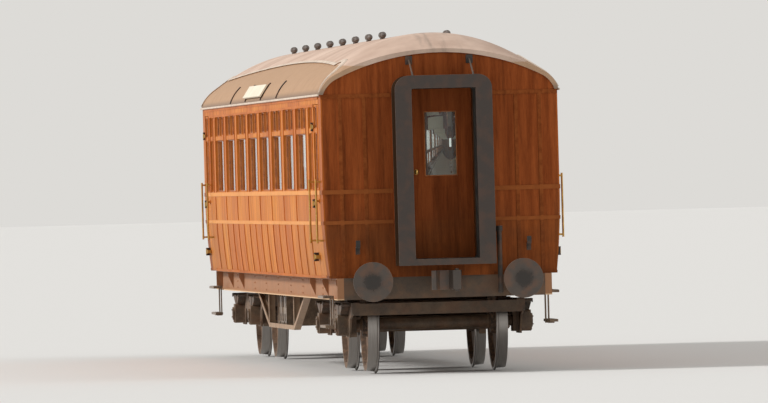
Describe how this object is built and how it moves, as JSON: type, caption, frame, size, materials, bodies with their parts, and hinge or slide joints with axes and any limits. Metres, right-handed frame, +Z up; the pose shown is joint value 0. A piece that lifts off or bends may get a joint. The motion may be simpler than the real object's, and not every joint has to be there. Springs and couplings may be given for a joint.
{
  "type": "passenger coach",
  "caption": "Bow-ended wooden passenger coach on two bogies, with hinged side doors, gangways, window bays and a domed roof.",
  "frame": {"origin": "under the middle of the coach, level with the bottoms of the wheel flanges", "axes": "+X towards the front end, +Y to the left side, +Z up"},
  "size_m": [19.691, 2.877, 3.9929],
  "materials": {
    "teak": "varnished, gold-brown, weathered",
    "door_teak": "varnished, gold-brown, weathered",
    "glass": "clear window glass",
    "roof_paint": "matt pale grey paint with soot stains",
    "board_paint": "pale painted board, blank",
    "brass": "worn brass",
    "inner_wood": "satin varnish",
    "moquette": "cut-pile upholstery",
    "bellows_cloth": "dull proofed cloth",
    "frame_steel": "black paint under brown dust",
    "coupler_iron": "greasy cast iron",
    "bogie_iron": "black paint under brake dust",
    "spring_steel": "oiled spring steel",
    "wheel_steel": "rusty webs and bright treads"
  },
  "bodies": {
    "coach_body": {"battery_boxes": "frame_steel", "brake_cylinders": "frame_steel", "buffers": "coupler_iron", "cantrails": "teak", "couplers": "coupler_iron", "door_hinges": "brass", "dynamo": "frame_steel", "end_wall_front": "teak", "end_wall_rear": "teak", "floor": "inner_wood", "footsteps": "frame_steel", "gangway_bellows": "bellows_cloth", "gangway_frames": "frame_steel", "gutters": "roof_paint", "handrails": "brass", "luggage_racks": "inner_wood", "partitions": "inner_wood", "pipe_stubs": "frame_steel", "roof": "roof_paint", "roof_board_brackets": "roof_paint", "roof_boards": "board_paint", "seat_frames": "inner_wood", "seats": "moquette", "side_left": "teak", "side_right": "teak", "tables": "inner_wood", "truss_rods": "frame_steel", "underframe": "frame_steel", "ventilators": "roof_paint", "window_glass_left": "glass", "window_glass_right": "glass"},
    "front_bogie": {"bogie_front_axleboxes": "bogie_iron", "bogie_front_bolster": "bogie_iron", "bogie_front_brakes": "bogie_iron", "bogie_front_frame": "bogie_iron", "bogie_front_springs": "spring_steel"},
    "rear_bogie": {"bogie_rear_axleboxes": "bogie_iron", "bogie_rear_bolster": "bogie_iron", "bogie_rear_brakes": "bogie_iron", "bogie_rear_frame": "bogie_iron", "bogie_rear_springs": "spring_steel"},
    "front_left_door": {"door_front_left": "door_teak", "door_front_left_glass": "glass"},
    "front_right_door": {"door_front_right": "door_teak", "door_front_right_glass": "glass"},
    "rear_left_door": {"door_rear_left": "door_teak", "door_rear_left_glass": "glass"},
    "rear_right_door": {"door_rear_right": "door_teak", "door_rear_right_glass": "glass"},
    "front_gangway_door": {"gangway_door_front": "door_teak"},
    "rear_gangway_door": {"gangway_door_rear": "door_teak"},
    "wheelset_1": {"wheelset_1_axle": "wheel_steel", "wheelset_1_wheels": "wheel_steel"},
    "wheelset_2": {"wheelset_2_axle": "wheel_steel", "wheelset_2_wheels": "wheel_steel"},
    "wheelset_3": {"wheelset_3_axle": "wheel_steel", "wheelset_3_wheels": "wheel_steel"},
    "wheelset_4": {"wheelset_4_axle": "wheel_steel", "wheelset_4_wheels": "wheel_steel"}
  },
  "joints": [
    {"name": "front_bogie_swivel", "type": "hinge", "parent": "coach_body", "child": "front_bogie", "pos_m": [6.553, 0, 0.9], "axis": [0, 0, 1], "range_deg": [-4, 4]},
    {"name": "rear_bogie_swivel", "type": "hinge", "parent": "coach_body", "child": "rear_bogie", "pos_m": [-6.553, 0, 0.9], "axis": [0, 0, 1], "range_deg": [-4, 4]},
    {"name": "wheelset_1_spin", "type": "hinge", "parent": "front_bogie", "child": "wheelset_1", "pos_m": [7.848, 0, 0.573], "axis": [0, 1, 0], "continuous": true},
    {"name": "wheelset_2_spin", "type": "hinge", "parent": "front_bogie", "child": "wheelset_2", "pos_m": [5.258, 0, 0.573], "axis": [0, 1, 0], "continuous": true},
    {"name": "wheelset_3_spin", "type": "hinge", "parent": "rear_bogie", "child": "wheelset_3", "pos_m": [-5.258, 0, 0.573], "axis": [0, 1, 0], "continuous": true},
    {"name": "wheelset_4_spin", "type": "hinge", "parent": "rear_bogie", "child": "wheelset_4", "pos_m": [-7.848, 0, 0.573], "axis": [0, 1, 0], "continuous": true},
    {"name": "front_left_door_hinge", "type": "hinge", "parent": "coach_body", "child": "front_left_door", "pos_m": [8.8725, 1.3915, 2.2], "axis": [0, 0, -1], "range_deg": [0, 90]},
    {"name": "rear_left_door_hinge", "type": "hinge", "parent": "coach_body", "child": "rear_left_door", "pos_m": [-8.1725, 1.3915, 2.2], "axis": [0, 0, -1], "range_deg": [0, 90]},
    {"name": "front_right_door_hinge", "type": "hinge", "parent": "coach_body", "child": "front_right_door", "pos_m": [8.1725, -1.3915, 2.2], "axis": [0, 0, -1], "range_deg": [0, 90]},
    {"name": "rear_right_door_hinge", "type": "hinge", "parent": "coach_body", "child": "rear_right_door", "pos_m": [-8.8725, -1.3915, 2.2], "axis": [0, 0, -1], "range_deg": [0, 90]},
    {"name": "front_gangway_door_hinge", "type": "hinge", "parent": "coach_body", "child": "front_gangway_door", "pos_m": [9.2465, 0.368, 2.3], "axis": [0, 0, -1], "range_deg": [0, 90]},
    {"name": "rear_gangway_door_hinge", "type": "hinge", "parent": "coach_body", "child": "rear_gangway_door", "pos_m": [-9.2465, -0.368, 2.3], "axis": [0, 0, -1], "range_deg": [0, 90]}
  ]
}
